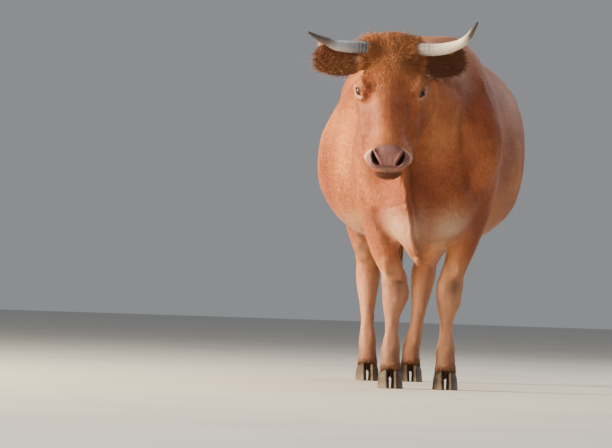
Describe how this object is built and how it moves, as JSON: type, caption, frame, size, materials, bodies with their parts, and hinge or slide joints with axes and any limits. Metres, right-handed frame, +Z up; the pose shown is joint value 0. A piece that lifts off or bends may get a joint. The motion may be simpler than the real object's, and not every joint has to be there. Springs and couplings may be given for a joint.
{
  "type": "cow",
  "caption": "Life-size still model of a standing horned beef cow, head raised, with a short reddish coat, cloven hooves, dewlap, udder and hanging tail.",
  "frame": {"origin": "on the floor, under the middle of the whole cow's box", "axes": "+Z up; the cow faces -Y, so +Y runs from muzzle to tail; +X is its left side"},
  "size_m": [0.944, 2.0836, 1.3892],
  "materials": {
    "coat": "short red-brown hair that lies flat, with a soft sheen",
    "muzzle_skin": "moist pebbled bare skin",
    "udder_skin": "thin bare skin with fine creases",
    "horn": "polished horn, ringed at the base and dark at the tip",
    "hoof": "dark horn with growth rings and dust",
    "eye": "wet dark brown eye"
  },
  "bodies": {
    "root": {"head": "coat", "neck": "coat", "dewlap": "coat", "trunk": "coat", "udder": "udder_skin", "tail_dock": "coat", "tail_switch": "coat", "ear_left": "coat", "ear_right": "coat", "horn_left": "horn", "horn_right": "horn", "eye_left": "eye", "eye_right": "eye", "foreleg_left_upper": "coat", "foreleg_left_lower": "coat", "foreleg_left_claw_outer": "hoof", "foreleg_left_claw_inner": "hoof", "foreleg_left_dewclaw_outer": "hoof", "foreleg_left_dewclaw_inner": "hoof", "foreleg_right_upper": "coat", "foreleg_right_lower": "coat", "foreleg_right_claw_outer": "hoof", "foreleg_right_claw_inner": "hoof", "foreleg_right_dewclaw_outer": "hoof", "foreleg_right_dewclaw_inner": "hoof", "hindleg_left_upper": "coat", "hindleg_left_lower": "coat", "hindleg_left_claw_outer": "hoof", "hindleg_left_claw_inner": "hoof", "hindleg_left_dewclaw_outer": "hoof", "hindleg_left_dewclaw_inner": "hoof", "hindleg_right_upper": "coat", "hindleg_right_lower": "coat", "hindleg_right_claw_outer": "hoof", "hindleg_right_claw_inner": "hoof", "hindleg_right_dewclaw_outer": "hoof", "hindleg_right_dewclaw_inner": "hoof"}
  },
  "joints": []
}
